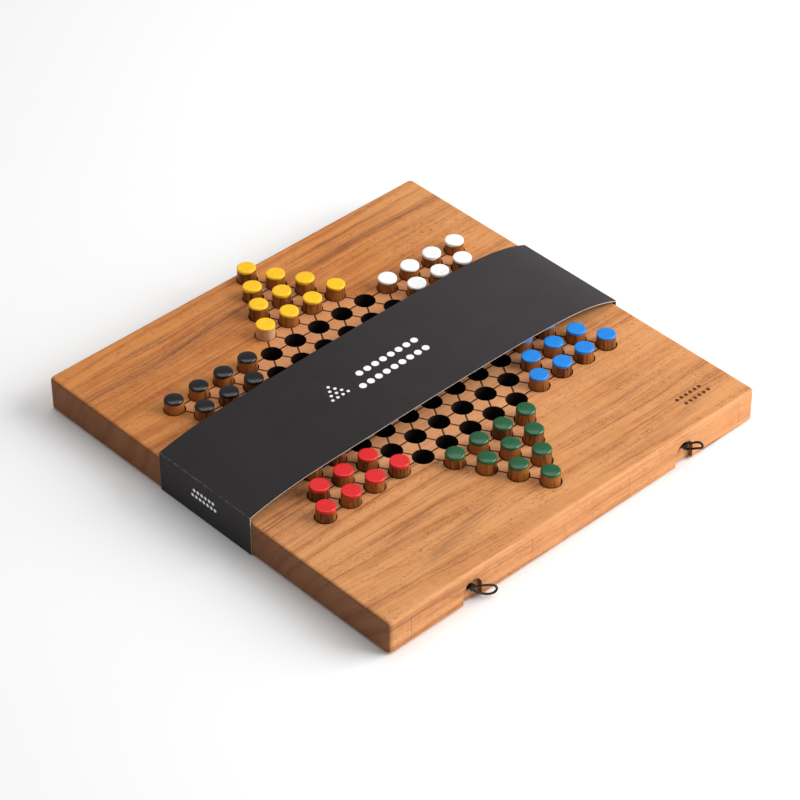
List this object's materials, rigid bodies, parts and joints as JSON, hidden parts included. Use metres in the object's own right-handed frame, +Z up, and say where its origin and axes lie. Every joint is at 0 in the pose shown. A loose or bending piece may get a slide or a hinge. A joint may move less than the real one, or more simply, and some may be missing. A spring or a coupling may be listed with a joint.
{
  "type": "chinese checkers board",
  "caption": "Square wooden chinese checkers board with a star of peg holes, coloured pegs, corner storage drawers with cord pulls and a card sleeve.",
  "frame": {"origin": "on the resting surface, below the middle of the board's square", "axes": "+Z up, +X along the drawer side, -Y out of the drawer side"},
  "size_m": [0.2912, 0.3009, 0.0359],
  "materials": {
    "board_wood": "oiled, satin",
    "sleeve_card": "uncoated matte card",
    "pull_cord": "waxed black cord",
    "peg_yellow": "turned wood with a glossy painted top",
    "peg_green": "turned wood with a glossy painted top",
    "peg_black": "turned wood with a glossy painted top",
    "peg_white": "turned wood with a glossy painted top",
    "peg_red": "turned wood with a glossy painted top",
    "peg_blue": "turned wood with a glossy painted top"
  },
  "bodies": {
    "board": {"board": "board_wood", "pegs_black_under_sleeve": "peg_black", "pegs_white_under_sleeve": "peg_white", "pegs_red_under_sleeve": "peg_red", "pegs_blue_under_sleeve": "peg_blue"},
    "sleeve": {"sleeve": "sleeve_card"},
    "drawer_left": {"drawer_left": "board_wood", "pull_cord_left": "pull_cord", "pull_knots_left": "pull_cord"},
    "drawer_right": {"drawer_right": "board_wood", "pull_cord_right": "pull_cord", "pull_knots_right": "pull_cord"},
    "peg_yellow_01": {"peg_yellow_01": "peg_yellow"},
    "peg_yellow_02": {"peg_yellow_02": "peg_yellow"},
    "peg_yellow_03": {"peg_yellow_03": "peg_yellow"},
    "peg_yellow_04": {"peg_yellow_04": "peg_yellow"},
    "peg_yellow_05": {"peg_yellow_05": "peg_yellow"},
    "peg_yellow_06": {"peg_yellow_06": "peg_yellow"},
    "peg_yellow_07": {"peg_yellow_07": "peg_yellow"},
    "peg_yellow_08": {"peg_yellow_08": "peg_yellow"},
    "peg_yellow_09": {"peg_yellow_09": "peg_yellow"},
    "peg_yellow_10": {"peg_yellow_10": "peg_yellow"},
    "peg_black_01": {"peg_black_01": "peg_black"},
    "peg_black_02": {"peg_black_02": "peg_black"},
    "peg_black_03": {"peg_black_03": "peg_black"},
    "peg_black_04": {"peg_black_04": "peg_black"},
    "peg_white_01": {"peg_white_01": "peg_white"},
    "peg_white_02": {"peg_white_02": "peg_white"},
    "peg_white_03": {"peg_white_03": "peg_white"},
    "peg_white_04": {"peg_white_04": "peg_white"},
    "peg_black_05": {"peg_black_05": "peg_black"},
    "peg_black_06": {"peg_black_06": "peg_black"},
    "peg_black_07": {"peg_black_07": "peg_black"},
    "peg_white_05": {"peg_white_05": "peg_white"},
    "peg_white_06": {"peg_white_06": "peg_white"},
    "peg_white_07": {"peg_white_07": "peg_white"},
    "peg_red_01": {"peg_red_01": "peg_red"},
    "peg_red_02": {"peg_red_02": "peg_red"},
    "peg_red_03": {"peg_red_03": "peg_red"},
    "peg_blue_01": {"peg_blue_01": "peg_blue"},
    "peg_blue_02": {"peg_blue_02": "peg_blue"},
    "peg_blue_03": {"peg_blue_03": "peg_blue"},
    "peg_red_04": {"peg_red_04": "peg_red"},
    "peg_red_05": {"peg_red_05": "peg_red"},
    "peg_red_06": {"peg_red_06": "peg_red"},
    "peg_red_07": {"peg_red_07": "peg_red"},
    "peg_blue_04": {"peg_blue_04": "peg_blue"},
    "peg_blue_05": {"peg_blue_05": "peg_blue"},
    "peg_blue_06": {"peg_blue_06": "peg_blue"},
    "peg_blue_07": {"peg_blue_07": "peg_blue"},
    "peg_green_01": {"peg_green_01": "peg_green"},
    "peg_green_02": {"peg_green_02": "peg_green"},
    "peg_green_03": {"peg_green_03": "peg_green"},
    "peg_green_04": {"peg_green_04": "peg_green"},
    "peg_green_05": {"peg_green_05": "peg_green"},
    "peg_green_06": {"peg_green_06": "peg_green"},
    "peg_green_07": {"peg_green_07": "peg_green"},
    "peg_green_08": {"peg_green_08": "peg_green"},
    "peg_green_09": {"peg_green_09": "peg_green"},
    "peg_green_10": {"peg_green_10": "peg_green"}
  },
  "joints": [
    {"name": "sleeve_slide", "type": "slide", "parent": "board", "child": "sleeve", "axis": [0, 1, 0], "range_m": [0, 0.18]},
    {"name": "drawer_left_slide", "type": "slide", "parent": "board", "child": "drawer_left", "axis": [0, -1, 0], "range_m": [0, 0.06]},
    {"name": "drawer_right_slide", "type": "slide", "parent": "board", "child": "drawer_right", "axis": [0, -1, 0], "range_m": [0, 0.06]},
    {"name": "peg_yellow_01_lift", "type": "slide", "parent": "board", "child": "peg_yellow_01", "axis": [0, 0, 1], "range_m": [0, 0.03]},
    {"name": "peg_yellow_02_lift", "type": "slide", "parent": "board", "child": "peg_yellow_02", "axis": [0, 0, 1], "range_m": [0, 0.03]},
    {"name": "peg_yellow_03_lift", "type": "slide", "parent": "board", "child": "peg_yellow_03", "axis": [0, 0, 1], "range_m": [0, 0.03]},
    {"name": "peg_yellow_04_lift", "type": "slide", "parent": "board", "child": "peg_yellow_04", "axis": [0, 0, 1], "range_m": [0, 0.03]},
    {"name": "peg_yellow_05_lift", "type": "slide", "parent": "board", "child": "peg_yellow_05", "axis": [0, 0, 1], "range_m": [0, 0.03]},
    {"name": "peg_yellow_06_lift", "type": "slide", "parent": "board", "child": "peg_yellow_06", "axis": [0, 0, 1], "range_m": [0, 0.03]},
    {"name": "peg_yellow_07_lift", "type": "slide", "parent": "board", "child": "peg_yellow_07", "axis": [0, 0, 1], "range_m": [0, 0.03]},
    {"name": "peg_yellow_08_lift", "type": "slide", "parent": "board", "child": "peg_yellow_08", "axis": [0, 0, 1], "range_m": [0, 0.03]},
    {"name": "peg_yellow_09_lift", "type": "slide", "parent": "board", "child": "peg_yellow_09", "axis": [0, 0, 1], "range_m": [0, 0.03]},
    {"name": "peg_yellow_10_lift", "type": "slide", "parent": "board", "child": "peg_yellow_10", "axis": [0, 0, 1], "range_m": [0, 0.03]},
    {"name": "peg_black_01_lift", "type": "slide", "parent": "board", "child": "peg_black_01", "axis": [0, 0, 1], "range_m": [0, 0.03]},
    {"name": "peg_black_02_lift", "type": "slide", "parent": "board", "child": "peg_black_02", "axis": [0, 0, 1], "range_m": [0, 0.03]},
    {"name": "peg_black_03_lift", "type": "slide", "parent": "board", "child": "peg_black_03", "axis": [0, 0, 1], "range_m": [0, 0.03]},
    {"name": "peg_black_04_lift", "type": "slide", "parent": "board", "child": "peg_black_04", "axis": [0, 0, 1], "range_m": [0, 0.03]},
    {"name": "peg_white_01_lift", "type": "slide", "parent": "board", "child": "peg_white_01", "axis": [0, 0, 1], "range_m": [0, 0.03]},
    {"name": "peg_white_02_lift", "type": "slide", "parent": "board", "child": "peg_white_02", "axis": [0, 0, 1], "range_m": [0, 0.03]},
    {"name": "peg_white_03_lift", "type": "slide", "parent": "board", "child": "peg_white_03", "axis": [0, 0, 1], "range_m": [0, 0.03]},
    {"name": "peg_white_04_lift", "type": "slide", "parent": "board", "child": "peg_white_04", "axis": [0, 0, 1], "range_m": [0, 0.03]},
    {"name": "peg_black_05_lift", "type": "slide", "parent": "board", "child": "peg_black_05", "axis": [0, 0, 1], "range_m": [0, 0.03]},
    {"name": "peg_black_06_lift", "type": "slide", "parent": "board", "child": "peg_black_06", "axis": [0, 0, 1], "range_m": [0, 0.03]},
    {"name": "peg_black_07_lift", "type": "slide", "parent": "board", "child": "peg_black_07", "axis": [0, 0, 1], "range_m": [0, 0.03]},
    {"name": "peg_white_05_lift", "type": "slide", "parent": "board", "child": "peg_white_05", "axis": [0, 0, 1], "range_m": [0, 0.03]},
    {"name": "peg_white_06_lift", "type": "slide", "parent": "board", "child": "peg_white_06", "axis": [0, 0, 1], "range_m": [0, 0.03]},
    {"name": "peg_white_07_lift", "type": "slide", "parent": "board", "child": "peg_white_07", "axis": [0, 0, 1], "range_m": [0, 0.03]},
    {"name": "peg_red_01_lift", "type": "slide", "parent": "board", "child": "peg_red_01", "axis": [0, 0, 1], "range_m": [0, 0.03]},
    {"name": "peg_red_02_lift", "type": "slide", "parent": "board", "child": "peg_red_02", "axis": [0, 0, 1], "range_m": [0, 0.03]},
    {"name": "peg_red_03_lift", "type": "slide", "parent": "board", "child": "peg_red_03", "axis": [0, 0, 1], "range_m": [0, 0.03]},
    {"name": "peg_blue_01_lift", "type": "slide", "parent": "board", "child": "peg_blue_01", "axis": [0, 0, 1], "range_m": [0, 0.03]},
    {"name": "peg_blue_02_lift", "type": "slide", "parent": "board", "child": "peg_blue_02", "axis": [0, 0, 1], "range_m": [0, 0.03]},
    {"name": "peg_blue_03_lift", "type": "slide", "parent": "board", "child": "peg_blue_03", "axis": [0, 0, 1], "range_m": [0, 0.03]},
    {"name": "peg_red_04_lift", "type": "slide", "parent": "board", "child": "peg_red_04", "axis": [0, 0, 1], "range_m": [0, 0.03]},
    {"name": "peg_red_05_lift", "type": "slide", "parent": "board", "child": "peg_red_05", "axis": [0, 0, 1], "range_m": [0, 0.03]},
    {"name": "peg_red_06_lift", "type": "slide", "parent": "board", "child": "peg_red_06", "axis": [0, 0, 1], "range_m": [0, 0.03]},
    {"name": "peg_red_07_lift", "type": "slide", "parent": "board", "child": "peg_red_07", "axis": [0, 0, 1], "range_m": [0, 0.03]},
    {"name": "peg_blue_04_lift", "type": "slide", "parent": "board", "child": "peg_blue_04", "axis": [0, 0, 1], "range_m": [0, 0.03]},
    {"name": "peg_blue_05_lift", "type": "slide", "parent": "board", "child": "peg_blue_05", "axis": [0, 0, 1], "range_m": [0, 0.03]},
    {"name": "peg_blue_06_lift", "type": "slide", "parent": "board", "child": "peg_blue_06", "axis": [0, 0, 1], "range_m": [0, 0.03]},
    {"name": "peg_blue_07_lift", "type": "slide", "parent": "board", "child": "peg_blue_07", "axis": [0, 0, 1], "range_m": [0, 0.03]},
    {"name": "peg_green_01_lift", "type": "slide", "parent": "board", "child": "peg_green_01", "axis": [0, 0, 1], "range_m": [0, 0.03]},
    {"name": "peg_green_02_lift", "type": "slide", "parent": "board", "child": "peg_green_02", "axis": [0, 0, 1], "range_m": [0, 0.03]},
    {"name": "peg_green_03_lift", "type": "slide", "parent": "board", "child": "peg_green_03", "axis": [0, 0, 1], "range_m": [0, 0.03]},
    {"name": "peg_green_04_lift", "type": "slide", "parent": "board", "child": "peg_green_04", "axis": [0, 0, 1], "range_m": [0, 0.03]},
    {"name": "peg_green_05_lift", "type": "slide", "parent": "board", "child": "peg_green_05", "axis": [0, 0, 1], "range_m": [0, 0.03]},
    {"name": "peg_green_06_lift", "type": "slide", "parent": "board", "child": "peg_green_06", "axis": [0, 0, 1], "range_m": [0, 0.03]},
    {"name": "peg_green_07_lift", "type": "slide", "parent": "board", "child": "peg_green_07", "axis": [0, 0, 1], "range_m": [0, 0.03]},
    {"name": "peg_green_08_lift", "type": "slide", "parent": "board", "child": "peg_green_08", "axis": [0, 0, 1], "range_m": [0, 0.03]},
    {"name": "peg_green_09_lift", "type": "slide", "parent": "board", "child": "peg_green_09", "axis": [0, 0, 1], "range_m": [0, 0.03]},
    {"name": "peg_green_10_lift", "type": "slide", "parent": "board", "child": "peg_green_10", "axis": [0, 0, 1], "range_m": [0, 0.03]}
  ]
}
